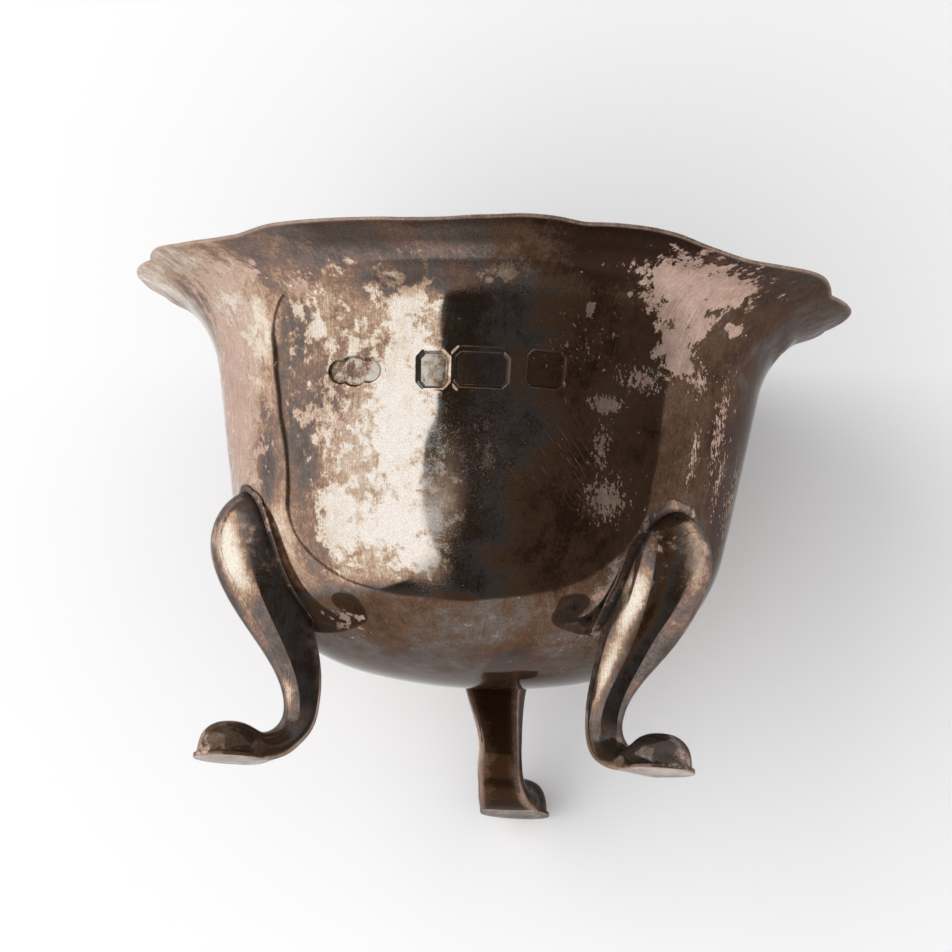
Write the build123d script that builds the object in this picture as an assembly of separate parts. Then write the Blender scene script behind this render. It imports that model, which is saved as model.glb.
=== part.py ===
from build123d import *
import math
import os

# Salt cellar: a raised silver bowl with a lobed, flared rim, on three cast cabriole legs.
# Lengths are in millimetres and angles in degrees. The soles stand on z = 0, the bowl's axis is Z,
# the rear leg points along +Y and the two front legs point 60 degrees to either side of -Y.

# Bowl
height = 41.7            # soles to the top of the rim's lobes
rim_diameter = 60.0      # across two opposite lobes
bowl_wall = 0.5          # thickness of the sheet
bottom_height = 8.3      # clear height under the middle of the bowl
dome_radius = 46.0       # shallow dome of the bottom
bouge_radius = 13.5      # round corner between the bottom and the wall
wall_lean = 9.5          # how far the wall leans out from upright
flare_radius = 9.3       # outward sweep below the rim, on its outer face
rim_slope = 10.0         # rise of the flare where the rim is cut

# Rim lobes
lobe_count = 12
lobe_turn = 10.7         # turn of the first lobe from the X axis
notch_depth = 1.0        # how far each notch is cut in from the lobes
trim_slope = 3.0         # the sheet runs out to this slope before the lobes are cut

# Legs
leg_names = ("rear", "left", "right")   # evenly spaced round the bowl from +Y
knee_height = 18.4       # fullest part of the knee, whose round top starts here
knee_proud = 3.2         # how far the knee stands off the wall there
knee_width = 7.7
knee_depth = 6.4         # front to back before the bowl is fitted in
knee_round = 3.6         # rise of the knee's rounded front
knee_top_rise = 4.4      # from the fullest part up to the knee's round top
knee_top_run = 3.75      # from the knee's front back to the same top
calf_handle = 5.5        # how long the front keeps straight down below the knee
shin_handle = 4.4        # and above the ankle
ankle_height = 4.45
ankle_reach = 16.0       # from the axis to the front of the ankle
ankle_width = 3.3
ankle_depth = 2.5
ankle_round = 1.8
width_taper = 1.05       # how early the leg narrows from knee to ankle, 1 is evenly
depth_taper = 0.7        # how early it thins from front to back
instep_radius = 2.12
heel_depth = 2.2
heel_width = 4.0
arch_width = 5.2          # the flat back spreads to this where it turns into the sole
arch_round = 1.6
back_bevel = 0.35        # narrow slope along each edge of the flat back
front_fullness = 0.56    # 0.55 is an ellipse, more is squarer

# Pad feet
foot_reach = 20.4        # from the axis to the middle of the pad
pad_radius = 3.0
pad_height = 3.15
pad_lip = 0.35           # thickness of the sole's thin edge
pad_step = 0.25          # how far that edge stands out from the pad
pad_fullness = 0.66      # squareness of the pad's bulging top

# Solder
solder_film = 0.25       # between the bowl and each knee
solder_skirt = 0.4       # how far the solder runs out around the knee

rim_radius = rim_diameter / 2
up = 90
top_steps = 4            # sections over the knee's round top
top_tilt = 80            # how far round the top the first of them lies
leg_steps = 5            # sections between knee and ankle
arch_spacing = 2.5       # sections from the arch to the pad lie no further apart than this


def polar(radius, angle):
    return (radius * math.cos(math.radians(angle)), radius * math.sin(math.radians(angle)))


# The bowl's section is a chain of tangent pieces: dome, bouge, straight wall and flare.
wall_slope = up - wall_lean
inner_flare = flare_radius + bowl_wall
dome_centre = Vector(0, bottom_height + dome_radius)
flare_centre = Vector(rim_radius, height) - Vector(polar(inner_flare, up + rim_slope))
wall_top = flare_centre + Vector(polar(flare_radius, up + wall_slope))
wall_direction = Vector(polar(1, wall_slope))
from_dome = wall_top + Vector(polar(bouge_radius, up + wall_slope)) - dome_centre
along = from_dome.dot(wall_direction)
across_squared = from_dome.length**2 - along**2
wall_length = along + math.sqrt((dome_radius - bouge_radius)**2 - across_squared)
bouge_centre = dome_centre + from_dome - wall_direction * wall_length
dome_turn = math.degrees(math.atan2(bouge_centre.X, dome_centre.Y - bouge_centre.Y))


def bowl_chain(inset):
    """The bowl's section from the axis past the rim, moved in from its outer face."""
    dome = CenterArc(dome_centre, dome_radius - inset, -up, dome_turn)
    bouge = CenterArc(bouge_centre, bouge_radius - inset, dome_turn - up, wall_slope - dome_turn)
    flare = CenterArc(flare_centre, flare_radius + inset, up + wall_slope, trim_slope - wall_slope)
    return [dome, bouge, Line(bouge @ 1, flare @ 0), flare]


def turned(chain, closing):
    """A section turned about the bowl's axis into a solid."""
    return revolve(Plane.XZ * make_face(chain + closing), Axis.Z)


def bowl_envelope(inset):
    """The bowl filled up to its rim, as a cutting tool for what is fitted to its outside."""
    chain = bowl_chain(inset)
    foot = chain[0] @ 0
    edge = chain[-1] @ 1
    top = Vector(0, edge.Y)
    return turned(chain, [Line(edge, top), Line(top, foot)])


def rim_outline():
    """Twelve round lobes that meet in notches."""
    pitch = 360 / lobe_count
    arcs = []
    for lobe in range(lobe_count):
        middle = lobe_turn + lobe * pitch
        start = polar(rim_radius - notch_depth, middle - pitch / 2)
        end = polar(rim_radius - notch_depth, middle + pitch / 2)
        arcs.append(ThreePointArc(start, polar(rim_radius, middle), end))
    return make_face(arcs)


def make_bowl():
    """The raised sheet, its flare cut to the lobed outline."""
    outer = bowl_chain(0)
    inner = bowl_chain(bowl_wall)
    closing = [Line(outer[-1] @ 1, inner[-1] @ 1), Line(inner[0] @ 0, outer[0] @ 0)]
    return turned(outer + inner, closing) & extrude(rim_outline(), 2 * height)


def wall_radius(z):
    """Outer radius of the bowl at a height on its bouge or wall."""
    wall_foot = wall_top - wall_direction * wall_length
    if z > wall_foot.Y:
        return wall_foot.X + (z - wall_foot.Y) / math.tan(math.radians(wall_slope))
    return bouge_centre.X + math.sqrt(bouge_radius**2 - (z - bouge_centre.Y)**2)


def section_edges(depth, width, rise, grow):
    """Half of a leg's section, from the middle of its flat back round to the middle of its front."""
    half = width / 2 + grow
    side = depth - rise
    crown = depth + grow
    corner = (half - back_bevel, 0)
    widest = (half, side)
    pull = front_fullness * (crown - side)
    return [
        Line((0, 0), corner),
        Line(corner, widest),
        Bezier(widest, (half, side + pull), (front_fullness * half, crown), (0, crown)),
    ]


def section_plane(front, facing, depth):
    """The plane of a section: its origin on the flat back, its Y towards the front point (r, z)."""
    towards = Vector(polar(1, facing))
    back = Vector(front) - towards * depth
    return Plane((back.X, 0, back.Y), x_dir=(0, 1, 0), z_dir=(towards.Y, 0, -towards.X))


def leg_section(front, facing, depth, width, rise, grow):
    """A D-shaped face with a flat, bevelled back and a rounded front."""
    half = section_edges(depth, width, rise, grow)
    other = [mirror(edge, Plane.YZ) for edge in half]
    return section_plane(front, facing, depth) * make_face(half + other)


def leg_stations():
    """Front point, facing, depth, width and rise of each section, from the knee to the pad."""
    knee_front = Vector(wall_radius(knee_height) + knee_proud, knee_height)
    ankle_front = Vector(ankle_reach, ankle_height)
    front_line = Bezier(
        knee_front,
        knee_front - Vector(0, calf_handle),
        ankle_front + Vector(0, shin_handle),
        ankle_front,
    )
    stations = []
    for step in range(top_steps):
        tilt = math.radians(top_tilt * (1 - step / top_steps))
        drop_back = Vector(knee_top_run * (math.cos(tilt) - 1), knee_top_rise * math.sin(tilt))
        narrow = math.cos(tilt)
        stations.append((knee_front + drop_back, 0, knee_depth, knee_width * narrow, knee_round * narrow))
    for step in range(leg_steps + 1):
        share = step / leg_steps
        ease = (1 + math.cos(math.pi * share)) / 2
        narrow = ease**width_taper
        stations.append((
            front_line @ share,
            0,
            ankle_depth + (knee_depth - ankle_depth) * ease**depth_taper,
            ankle_width + (knee_width - ankle_width) * narrow,
            ankle_round + (knee_round - ankle_round) * narrow,
        ))
    instep_centre = ankle_front + Vector(instep_radius, 0)
    heel_front = instep_centre - Vector(polar(instep_radius, up / 2))
    arch_front = instep_centre - Vector(0, instep_radius)
    stations.append((heel_front, up / 2, heel_depth, heel_width, arch_round))
    arch_run = foot_reach - arch_front.X
    arch_steps = max(1, math.ceil(arch_run / arch_spacing))
    for step in range(arch_steps + 1):
        front = arch_front + Vector(arch_run * step / arch_steps, 0)
        stations.append((front, up, front.Y, arch_width, arch_round))
    return stations


def make_pad():
    """The round pad foot: a bulging top on a thin edge, which runs down past the sole to be filed off."""
    neck = pad_radius - pad_step
    rise = pad_height - pad_lip
    edges = [
        Line((0, -pad_lip), (pad_radius, -pad_lip)),
        Line((pad_radius, -pad_lip), (pad_radius, pad_lip)),
        Line((pad_radius, pad_lip), (neck, pad_lip)),
        Bezier(
            (neck, pad_lip),
            (neck, pad_lip + pad_fullness * rise),
            (pad_fullness * neck, pad_height),
            (0, pad_height),
        ),
        Line((0, pad_height), (0, -pad_lip)),
    ]
    return revolve(Plane.XZ * make_face(edges), Axis.Z)


def leg_shank(grow):
    """Knee and shank along +X in one sweep, before the bowl is fitted, grown all round for the solder."""
    return loft([leg_section(*station, grow) for station in leg_stations()])


def leg_body():
    """One leg along +X, before the bowl is fitted: knee and shank, pad foot, filed sole."""
    pad = Pos(foot_reach, 0, 0) * make_pad()
    below = Pos(0, 0, -height / 2) * Box(2 * rim_diameter, 2 * rim_diameter, height)
    return leg_shank(0) + pad - below


os.makedirs("parts", exist_ok=True)
export_step(make_bowl(), "parts/bowl.step")
film = bowl_envelope(-solder_film)
leg = leg_body() - film
solder = leg_shank(solder_skirt) & (film - bowl_envelope(0))
for place, side in enumerate(leg_names):
    angle = up + place * 360 / len(leg_names)
    export_step(Rot(0, 0, angle) * leg, f"parts/leg_{side}.step")
    export_step(Rot(0, 0, angle) * solder, f"parts/solder_{side}.step")
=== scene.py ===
import bmesh
import bpy
import math
import numpy as np
from mathutils import Matrix, Vector, kdtree, noise


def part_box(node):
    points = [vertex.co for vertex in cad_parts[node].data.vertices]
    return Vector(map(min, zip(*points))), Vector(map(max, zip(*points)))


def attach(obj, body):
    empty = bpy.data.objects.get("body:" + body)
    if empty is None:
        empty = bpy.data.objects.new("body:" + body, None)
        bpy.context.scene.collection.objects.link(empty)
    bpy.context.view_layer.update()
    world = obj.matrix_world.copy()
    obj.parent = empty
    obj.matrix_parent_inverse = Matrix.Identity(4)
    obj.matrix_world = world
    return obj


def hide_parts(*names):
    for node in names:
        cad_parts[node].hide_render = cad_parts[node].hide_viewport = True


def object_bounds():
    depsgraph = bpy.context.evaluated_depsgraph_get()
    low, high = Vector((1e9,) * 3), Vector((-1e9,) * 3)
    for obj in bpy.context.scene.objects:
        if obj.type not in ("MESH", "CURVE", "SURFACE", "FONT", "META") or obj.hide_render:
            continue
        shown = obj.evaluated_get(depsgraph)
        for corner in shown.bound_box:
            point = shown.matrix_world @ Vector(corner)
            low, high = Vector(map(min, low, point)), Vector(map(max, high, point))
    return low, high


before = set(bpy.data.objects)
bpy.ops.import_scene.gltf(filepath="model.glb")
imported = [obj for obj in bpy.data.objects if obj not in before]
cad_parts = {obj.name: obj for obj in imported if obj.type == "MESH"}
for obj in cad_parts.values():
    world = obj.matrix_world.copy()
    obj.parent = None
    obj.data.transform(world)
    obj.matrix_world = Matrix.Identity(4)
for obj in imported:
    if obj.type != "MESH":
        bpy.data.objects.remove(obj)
cad_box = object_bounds()

# Salt cellar: a raised silver bowl with a lobed, flared rim, on three cast cabriole legs.
# Lengths are in millimetres and angles in degrees until a mesh is written in metres.
# Angles round the bowl's axis are measured from the camera's side, rightwards.
MM = 0.001

# Bowl, as the solids have it
rim_height = cad_box[1].z / MM
bottom_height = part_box("bowl")[0].z / MM
rim_radius = 30
bowl_wall = 0.5
dome_radius = 46
bouge_radius = 13.5
wall_lean = 9.5
flare_radius = 9.3
rim_slope = 10

# Rim as it was cut, hammered thin, worn and bent
edge_round = 0.12
edge_turn = 60  # its round runs this far up and down
edge_loss = 0.03
box_slack = 0.02  # the edge stays this far inside the solid's box
edge_thinning = 0.24  # loss of thickness at the cut edge
thinning_run = 2.6  # over this width
rubbed_rim = 0.3  # width rubbed bright
flare_foot = 23.5  # the bends of the rim die away at this radius
bend_softness = 1.5  # each bend is eased this far to either side
# Notches between the lobes: angle and depth
rim_notches = (
    (-168, 0.8), (-137, 0.9), (-107, 0.8), (-79, 0.95), (-45, 0.4), (-15, 0.15),
    (13.5, 0.4), (43.5, 0.35), (73.5, 0.95), (104, 0.8), (133, 0.9), (163, 0.7),
)
# How far the rim is bent down: angle and drop
rim_bends = (
    (-150, 0.02), (-120, 0.05), (-100, 0.08), (-86, 0.05), (-77, 0.05), (-70, 0.25), (-60, 0.85),
    (-50, 1.1), (-44, 1.02), (-38, 0.66), (-30, 0.66), (-15, 0.66), (-8, 0.58), (0, 0.3), (4, 0.04),
    (9, 0), (13.5, 0.2), (18, 0.06), (24, 0.03), (29, 0.2), (34, 0.68), (40, 0.92), (46, 0.88),
    (52, 0.65), (60, 0.24), (66, 0.05), (73, 0.45), (80, 0.5), (95, 0.2), (120, 0.04), (150, 0.1),
)

# Unevenness of the raised sheet: slow and short hammer waves (length, height) and shallow dents
# (angle, height, radius, depth)
hammer_waves = ((17, 0.1), (5, 0.03), (2.2, 0.009))
dents = (
    (-2, 22.5, 8, 0.24), (-24, 30.5, 7, 0.1), (24, 27, 8, 0.14), (-62, 24, 7, 0.12),
    (70, 22, 7.5, 0.16), (120, 30, 8, 0.2), (168, 25, 9, 0.18), (-130, 28, 8, 0.2),
    (-12, 19.5, 2.4, 0.05), (-16, 27, 2.6, 0.05), (-11, 34, 2.2, 0.04), (-14, 23.2, 1.8, -0.03),
)
waves_start = (2, 8)  # the waves set in between these radii
waves_end = (27, 29)  # and die away, to keep the rim in its box

# Camera, fitted to the rim, the wall and the three feet in the photograph
camera_turn = 11.33  # from -Y towards +X
camera_reach = 479.32
camera_height = -60.37
camera_yaw = -0.072
camera_pitch = 10.182
camera_roll = 3.206
camera_lens = 221.2  # on a sensor 36 mm wide
camera_side = camera_turn - 90

# Studio: a soft light, the card that the salt touches, the dark edge beyond it and a floor
light_width = 1150
light_height = 2050
light_watts = 7.2
light_reach = 700
light_side = -62
light_level = -250
backdrop_radius = 560
backdrop_gap = 0.2  # from the rear toe
edge_gap = 1.2
floor_radius = 900
# Brightness of the room: its fill from below to above, and its mirror image over a range of heights
room_fill = (1.74, 0.5)
room_mirrored = (0.042, 0.5)
mirrored_rise = (0.1, 0.6)

# Blank punches struck in the wall: angle, rise, half width, half height, and how far the corners are cut,
# or none for a row of three lobes
punch_height = 30.4
punches = (
    (-29.6, -0.1, 2.45, 1.25, None), (-11.8, -0.1, 1.28, 1.45, 0.5),
    (-1.6, 0.05, 2.22, 1.42, 0.5), (11.9, 0.45, 1.6, 1.5, 0.5),
)
# The three lobes: middle, half width and half height, in shares of the punch's
punch_lobes = ((-0.52, 0.48, 0.8), (0, 0.58, 1), (0.52, 0.48, 0.8))
punch_depth = 0.2
punch_slope = (-0.2, 0.04)  # the floor rises to the wall between these, from the edge
punch_burr = 0.05
burr_place = 0.2  # outside the edge
burr_width = 0.15
# Dirt and painted shade in the punches: a dark ring just inside their edge and a lighter darkening of their
# floor
corner_dirt_and_shade = 0.7
corner_place = -0.14  # inside the edge
corner_width = 0.09
floor_dirt_and_shade = 0.3
floor_edge = (-0.3, -0.1)
punch_reach = 3  # above and below the row

# Fineness of the bowl's mesh
column_step = 0.2  # degrees between columns across the punches
coarse_columns = 5  # elsewhere one column in this many is kept
inner_rows = 3  # and inside the bowl one row in this many
column_margin = (9, 7)  # of fine columns, past the outermost punches
row_margin = (-2.1, 2.5)  # of fine rows, below and above the punches
dome_rows = 15
bouge_rows = 43
wall_rows = 25
punch_rows = 58
top_rows = 4
flare_rows = 46
edge_rows = 5

# Legs, as the solids have them but for a slimmer calf and a sharper back
leg_angles = {"left": 210, "right": -30, "rear": 90}  # from +X
knee_height = 18.4
knee_proud = 3.2
knee_width = 7.7
knee_depth = 6.4
knee_round = 3.6
knee_top_rise = 4.4
knee_top_run = 3.75
calf_handle = 4.8
shin_handle = 4.4
ankle_height = 4.45
ankle_reach = 16
ankle_width = 3.3
ankle_depth = 2.5
ankle_round = 1.8
width_taper = 1.05
depth_taper = 0.7
instep_radius = 2.12
heel_depth = 2.2
heel_width = 4
arch_width = 5.2
arch_round = 1.6
back_bevel = 0.16
back_chamfer = 0.16  # filed corner along each edge of the flat back
front_fullness = 0.56
knee_sink = 0.125  # how far the filed knee reaches into the sheet

# Pad feet
foot_reach = 20.4
pad_radius = 3
pad_height = 3.15
pad_lip = 0.35
pad_neck = 2.72  # radius of the bulging top above its thin lip
pad_squareness = 2.5  # 2 is an ellipse
sole_chamfer = 0.06
lip_lean = 0.04  # how far the lip's side leans in
lip_side = 0.8  # its side's share of the lip's height
toe_lip = 0.12  # thickness of the lip at the very tip
lip_gain = 0.3  # what it gains there with the half width
toe_narrowest = 0.02  # the half width at the tip, squared
arch_narrows = (-1.6, 0.2)  # the arch narrows between these, from the pad's middle
arch_sinks = (-1.8, 0)  # and sinks into the pad
arch_end = 0.3  # an arch slighter than this is over
web_rise = 0.12  # the fillet between arch and pad
web_width = 0.25

# Fineness of a leg's mesh: its rings, and points of a half section along its back, side and front
knee_rings, shank_rings, instep_rings, foot_rings = 21, 56, 22, 45
back_points, side_points, front_points = 5, 3, 18
knee_tilt = 88  # the first ring lies this far round the knee's top
toe_tilt = 89  # and the last one this far round the toe
edge_spread = 0.9  # how many points beside a filed edge are rubbed
least_side = 0.15  # the sides of a section are at least this deep
filing_passes = 4  # over the joins between shank, heel and pad
filing_level = 0.02  # the sole below this stays flat

# How the legs were bent and fitted by hand
leg_fit = {
    "lean": {"right": 0.95, "rear": 1.25},  # of the knee, sideways
    "instep": {"left": -0.15, "right": 0.35, "rear": -0.1},  # drop of the instep
    "knee": {"left": 0.35, "right": 1.1},  # drop of the knee
    "turn": {"rear": -4},  # of the foot about its ankle, in degrees
    "twist": {"rear": -0.12},  # of the shank
    "stout": {"right": -0.08, "rear": 0.1},  # how much stouter the shank was left
    "solder": {"left": 0.6, "right": 1, "rear": 0.8},  # share of solder
}
# Heights between which these set in or end, and the reach where the pad starts
lean_rise = (3.8, 12)
knee_rise = (5, 14)
sole_rise = (0.1, 1.8)
ankle_rise = (3.6, 6)
pad_start = (17.4, 19.4)
turn_end = (2.5, 6)
twist_rise = (3, 6)
stout_rise = (1.5, 4)
stout_end = (7, 12)

# Solder fillets
fillet_width = 0.95
fillet_rise = 0.28
fillet_root = 0.12  # how deep it sits in the sheet
fillet_cover = 0.5  # how far it reaches in under the leg
fillet_lap = 0.1  # how far in its full rise starts
fillet_waver = 0.35  # how uneven its width is
waver_step = 0.13  # its change from point to point
fillet_points = 140  # round each knee
easing_passes = 16  # over the loop of points
fillet_film, fillet_rubbed, fillet_haze = 0.55, 0.4, 0.6

# Film of tarnish round the bowl: angle and thickness, 0 clean and 1 thickest
film_round = (
    (-180, 0.7), (-150, 0.55), (-120, 0.45), (-95, 0.3), (-54, 0.28), (-48, 0.42), (-40, 0.42),
    (-33, 0.38), (-26, 0.36), (-14, 0.3), (-6, 0.38), (4, 0.62), (12, 0.84), (20, 0.92), (28, 0.8),
    (40, 0.78), (60, 0.81), (76, 0.72), (90, 0.7), (120, 0.6), (150, 0.74),
)
film_softness = 2.5  # it is eased this far to either side
# Thicker film under the rim at the front, and over the bottom
rim_film = 0.2
rim_film_rise = (37, 39.5)
rim_film_end = (30, 60)  # degrees to either side
bottom_film = 0.7
bottom_film_end = (12.5, 15.5)
# Places where the film is thicker or thinner: angle, height, half width, half height, change.
# The one at -58.5 by 23 is painted shade where the left leg's shadow and reflection fall
film_and_shade_patches = (
    (-44, 34, 2, 2.6, 0.14), (-45, 25, 2, 4, 0.14), (-36, 28, 2, 1.6, 0.16), (34, 25, 3, 4, 0.1),
    (11, 33.4, 2, 1.6, -0.1), (12, 26, 2.4, 4, -0.12), (-30, 11.5, 4, 2, 0.2),
    # painted shade: the patch at -58.5 by 23 darkens the wall beside the left leg
    (-75, 39, 5, 2, 0.12), (-58.5, 23, 2, 4, 0.35), (-18, 36.8, 4, 1, 0.34),
    (-36, 38, 6, 1.2, 0.1), (50, 31, 4, 5, 0.06), (62, 38, 4, 3, 0.08), (-8, 16, 5, 1, 0.1),
    (0, 11, 12, 2, -0.1), (56, 15, 4, 4, -0.1), (100, 33, 7, 4, -0.25), (140, 20, 8, 5, -0.3),
    (-125, 26, 6, 8, 0.25), (-160, 16, 7, 4, -0.25),
)
# Scuffs of fine slanting strokes: angle, height, half width and half height
scuffs = (
    (-13, 38.2, 6.5, 2), (-2, 37.4, 4, 1.6), (-30, 33, 4, 3), (18, 24, 4, 3.5),
    (34, 12, 5, 2), (-70, 33, 5, 5), (105, 36, 7, 2), (145, 27, 6, 5),
    (-115, 37, 7, 2), (-145, 22, 5, 4),
)
scuff_fall = 0.7  # what a scuff loses from its middle to its edge
# Patches rubbed through the film: angle, height, half width, half height,
# and 1 for a whole patch down to scattered flecks below one half
rubbed_patches = (
    (36, 38.8, 3.4, 2.2, 1), (46, 39, 4.4, 1.8, 1), (41.5, 36.8, 3.4, 1.6, 1),
    (41.5, 34.2, 2.2, 2.6, 1), (42.5, 32.6, 2.1, 1.1, 0.95), (57.5, 36.6, 1.5, 0.7, 0.9),
    (19.6, 35.8, 0.4, 0.6, 1), (26, 28.7, 1, 0.4, 0.9), (52, 39.4, 6, 1.5, 0.55),
    (-60, 38.6, 6, 1.8, 0.7), (-72, 30, 6, 10, 0.86), (-71, 20, 3.2, 5, 0.8),
    (-46, 11.4, 2, 1.1, 0.62), (46, 11.6, 1.6, 1.2, 0.7),
    (118, 30.2, 3.2, 4.5, 0.9), (165, 24.2, 4.2, 3, 0.8), (-140, 33.2, 3.4, 3.6, 0.9),
    (-105, 22.2, 3, 4, 0.8), (-165, 37.7, 3.8, 1.8, 0.9), (95, 36.7, 2.4, 1.6, 0.8),
    (140, 34, 7, 5, 0.45), (-170, 18, 8, 4, 0.45),
)
# Places polished so often that the film is thin and torn, given the same way
thinned_patches = (
    (-18, 27, 3.4, 9.5, 0.95), (-35, 18.4, 2.4, 3.6, 1), (-20, 18, 4.5, 2.8, 0.94),
    (-18, 35.5, 3.2, 2.4, 0.85), (-36, 27, 4.2, 5, 0.6), (-39, 34, 3.5, 4, 0.66),
    (-14, 15.8, 3, 1.2, 0.9), (2.5, 38.1, 2.2, 0.9, 0.9), (36, 14.5, 0.9, 4.2, 0.8),
    (-30, 32, 3.2, 3.5, 0.62), (-43.5, 27.2, 2.2, 2.2, 0.7), (-38, 25.5, 2.6, 1.8, 0.68),
    (-30, 38.2, 2, 0.8, 0.7), (0, 24, 4, 6, 0.5), (110, 30, 7, 7, 0.8),
    (140, 20, 8, 5, 0.8), (-160, 16, 7, 4, 0.8), (175, 33, 7, 5, 0.7),
)
# Fine slanting flecks where the film has chipped, given the same way
flecks = (
    (26, 28.6, 1.6, 0.8, 0.85), (26.2, 25.2, 1.1, 2.8, 0.6), (29.2, 21.2, 2.3, 2, 0.72),
    (52.8, 26, 1, 3, 0.64), (61.2, 28.7, 1.5, 5.5, 0.62), (66.8, 25, 1.2, 4, 0.56),
    (50, 32, 1.8, 2, 0.6), (34, 31, 3, 1.4, 0.62), (20, 33, 5, 5, 0.36),
    (28, 39.2, 3, 0.7, 0.6), (-34, 26, 3, 2.5, 0.6), (-40, 37.2, 2.4, 1.4, 0.62),
    (80, 24, 4, 6, 0.5), (140, 34, 7, 5, 0.45), (-120, 30, 6, 6, 0.5),
)
torn_core = 1.1  # share of torn film in the middle of a whole patch
torn_fall = 0.6  # what it loses by the patch's edge
rubbed_least, thinned_least, flecked_least = 0.14, 0.2, 0.1  # outside the patches
# Places whose sheen is hazy, given the same way, a hazy band under the flare and the flare itself
hazes = ((2, 23, 6.1, 9, 0.5), (-7.5, 21, 2.4, 6, 0.8), (-12, 14.4, 2.2, 1.8, 0.75))
band_haze = 0.9
band_height = 37.6
band_width = 1.3
band_start = -46  # at this angle
flare_haze = 0.6
flare_haze_rise = (38, 39.5)
# The inside has an even film
inside_film, inside_rubbed, inside_thinned, inside_haze = 0.56, 0.2, 0.12, 0.2
seam_soil_and_shade = 0.6  # dirt and painted shade along the knees' seams
seam_reach = 0.6  # fading over this distance
least_radius = 5  # patches near the axis are measured at this radius

# Film on the legs, which also paints highlights and shade: thinner where the soft light's highlights fall
# and thicker on the sides turned away from it. Given as angle faced, height, half width in degrees, half
# height and change
leg_film = 0.64
back_film_and_shade = 0.3  # more on the flat back, partly painted shade under the bowl
pad_film = 0.15  # and on the pad
sole_film = 0.4
sole_level = 0.05  # the sole ends at this height
leg_film_and_light_patches = {
    "left": ((-14, 16.4, 24, 2.6, -0.75), (-35, 5.8, 22, 1.3, -0.45), (-60, 10, 30, 2.2, -0.15)),
    "right": (
        (-50, 13.2, 17, 2.4, -0.7), (-58, 8.2, 16, 2.4, -0.5), (25, 17, 45, 3, -0.32),
        (20, 2.4, 70, 1.4, -0.25), (-22, 12.5, 12, 4, 0.35), (-30, 18.2, 22, 2, 0.4),
    ),
    "rear": ((60, 6, 80, 8, 0.3), (-85, 6, 35, 4, -0.6)),
}
# Wear and haze of the knee, the pad and the toe
knee_wear_height = 17.4
knee_wear_spread = 3.5
pad_end = (3.2, 5)
toe_start = (1.6, 2.6)  # from the pad's middle
knee_rubbed, toe_rubbed = 0.35, 0.5
leg_haze, knee_haze, pad_haze = 0.1, 0.6, 0.25
knee_haze_facing = (-45, -5)
knee_dirt_and_shade = 0.9  # dirt and painted shade where the knee meets the bowl
knee_dirt_and_shade_reach = 0.6

# Patterns in the film beside its slow clouds: size, detail and roughness
film_patterns = {
    "blotches": (1.4, 9, 0.8), "ragged": (1.2, 7, 0.7), "specks": (0.25, 4, 0.75), "pits": (0.12, 2, 0.6),
}
# Patterns of strokes: slant, length, width and detail
stroke_patterns = {
    "strokes": (-48, 3.5, 0.13, 3), "flecks": (-65, 0.6, 0.4, 7), "brushed": (84, 4.0, 0.09, 3),
}
torn_contrast = 2.2  # how strongly a pattern cuts into a patch
torn_level = 1.67  # the film is through above this
thinned_softness = 5  # a film polished thin fades out this much more gently
thinned_loss = 0.32  # and loses this much of its thickness
# Tints of the film between clean and thickest, of rubbed metal, and of dirt and painted shade in corners,
# seams and crevices
film_tints = (
    (0.2, "#E2D2C0"), (0.36, "#B99A80"), (0.47, "#8F7262"),
    (0.55, "#796A64"), (0.63, "#65605C"), (0.75, "#604837"),
)
bare_tints = ("#80533E", "#FADDCC")
# dark tint of dirt and of painted shade in corners, seams and crevices
dirt_and_shade_tint = "#170F0A"
sharp_sheen, hazy_sheen, rubbed_sheen, dirty_sheen = 0.07, 0.5, 0.46, 0.5
thick_mirror = 0.62  # mirror left under the thickest film
film_step = 0.02  # how far the film stands proud of rubbed metal


def polar(radius, angle):
    """The point at a distance and an angle from the origin."""
    return np.array((radius * math.cos(math.radians(angle)), radius * math.sin(math.radians(angle))))


def smooth(value, low, high):
    """0 below low, 1 above high, with an eased step between them."""
    share = np.clip((np.asarray(value, float) - low) / (high - low), 0, 1)
    return share * share * (3 - 2 * share)


def hill(value, middle=0, spread=1):
    """1 at the middle, falling away to either side."""
    return np.exp(-(((value - middle) / spread) ** 2))


def wrapped(angle):
    """The same direction between -180 and 180."""
    return (angle + 180) % 360 - 180


def round_curve(knots, angle, spread):
    """A value given at knots round the bowl, read at angles from the camera and softened."""
    places, values = np.array(knots).T
    offsets = np.linspace(-spread, spread, 5)
    return sum(np.interp(angle + offset, places, values, period=360) for offset in offsets) / len(offsets)


# The bowl's section is a chain of tangent pieces: dome, bouge, straight wall and flare.
wall_slope = 90 - wall_lean
dome_centre = np.array((0, bottom_height + dome_radius))
flare_centre = np.array((rim_radius, rim_height)) - polar(flare_radius + bowl_wall, 90 + rim_slope)
wall_top = flare_centre + polar(flare_radius, 90 + wall_slope)
wall_direction = polar(1, wall_slope)
from_dome = wall_top + polar(bouge_radius, 90 + wall_slope) - dome_centre
along_wall = from_dome @ wall_direction
wall_length = along_wall + math.sqrt(
    (dome_radius - bouge_radius) ** 2 - from_dome @ from_dome + along_wall**2
)
wall_foot = wall_top - wall_direction * wall_length
bouge_centre = dome_centre + from_dome - wall_direction * wall_length
dome_turn = math.degrees(math.atan2(bouge_centre[0], dome_centre[1] - bouge_centre[1]))
bouge_foot = bouge_centre + polar(bouge_radius, dome_turn - 90)


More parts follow.
